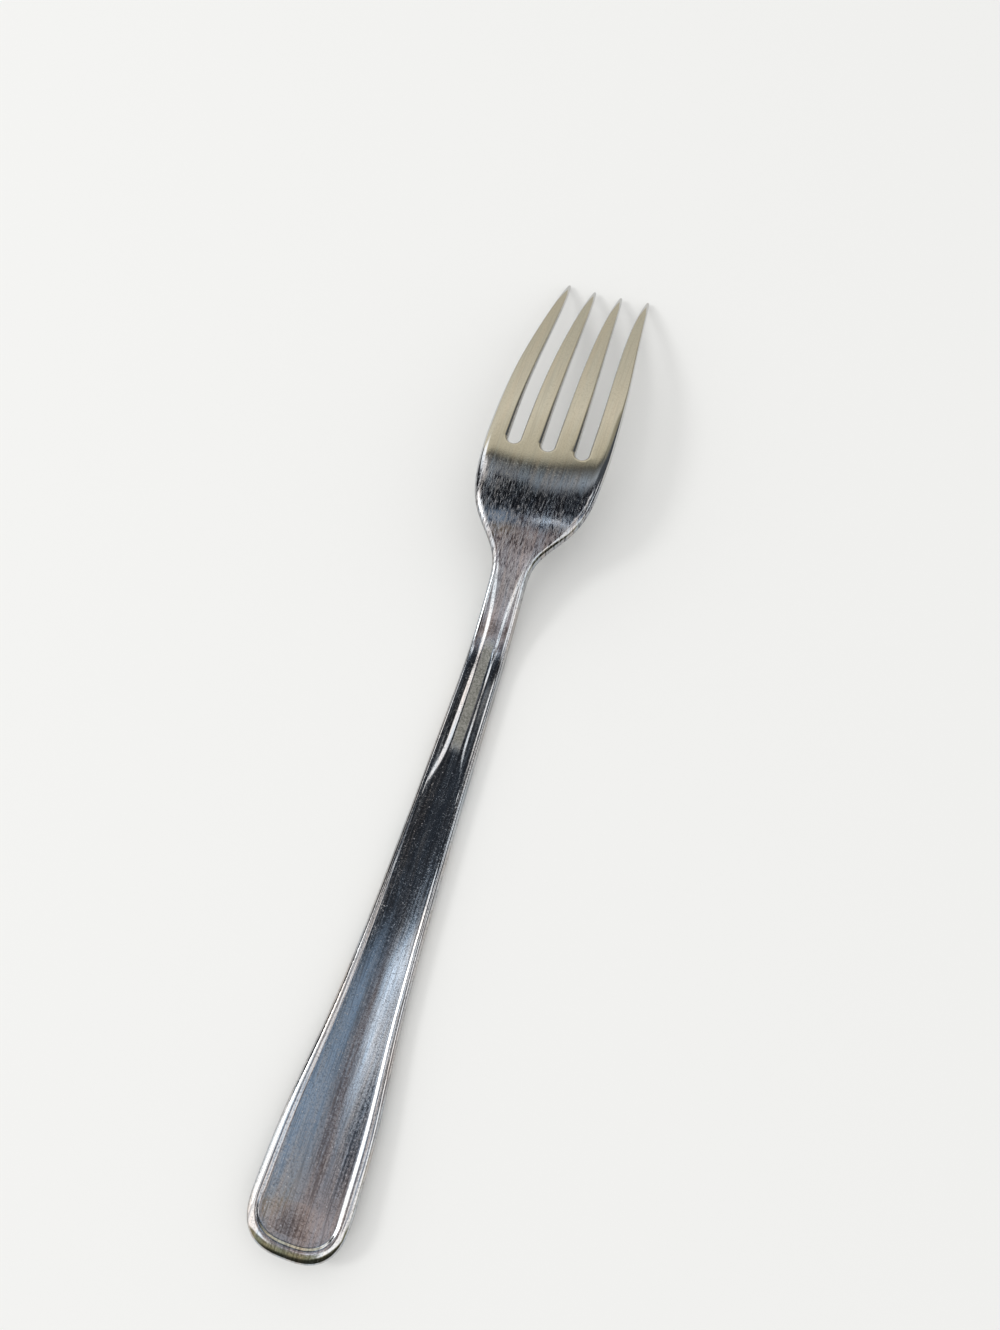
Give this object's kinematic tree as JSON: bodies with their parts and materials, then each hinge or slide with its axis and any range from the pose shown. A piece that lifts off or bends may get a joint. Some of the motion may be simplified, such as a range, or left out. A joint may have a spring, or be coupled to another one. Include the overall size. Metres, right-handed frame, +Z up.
{
  "type": "dinner fork",
  "caption": "Stainless steel dinner fork with tapering pointed tines, a dished head, a slim stem with a raised panel and a rounded handle framed by a raised bead.",
  "frame": {"origin": "on the table the fork lies on, back up, under the middle of its length and width", "axes": "+X across the fork to the right as seen from above, +Y along it towards the tine tips, +Z up out of the table"},
  "size_m": [0.0244, 0.19, 0.0124],
  "materials": {
    "steel": "polished, with fine lengthwise brush marks and light wear"
  },
  "bodies": {
    "root": {"handle_end": "steel", "handle": "steel", "stem": "steel", "neck": "steel", "shoulder": "steel", "tine_root": "steel", "tine_outer_left": "steel", "tine_inner_left": "steel", "tine_inner_right": "steel", "tine_outer_right": "steel"}
  },
  "joints": []
}
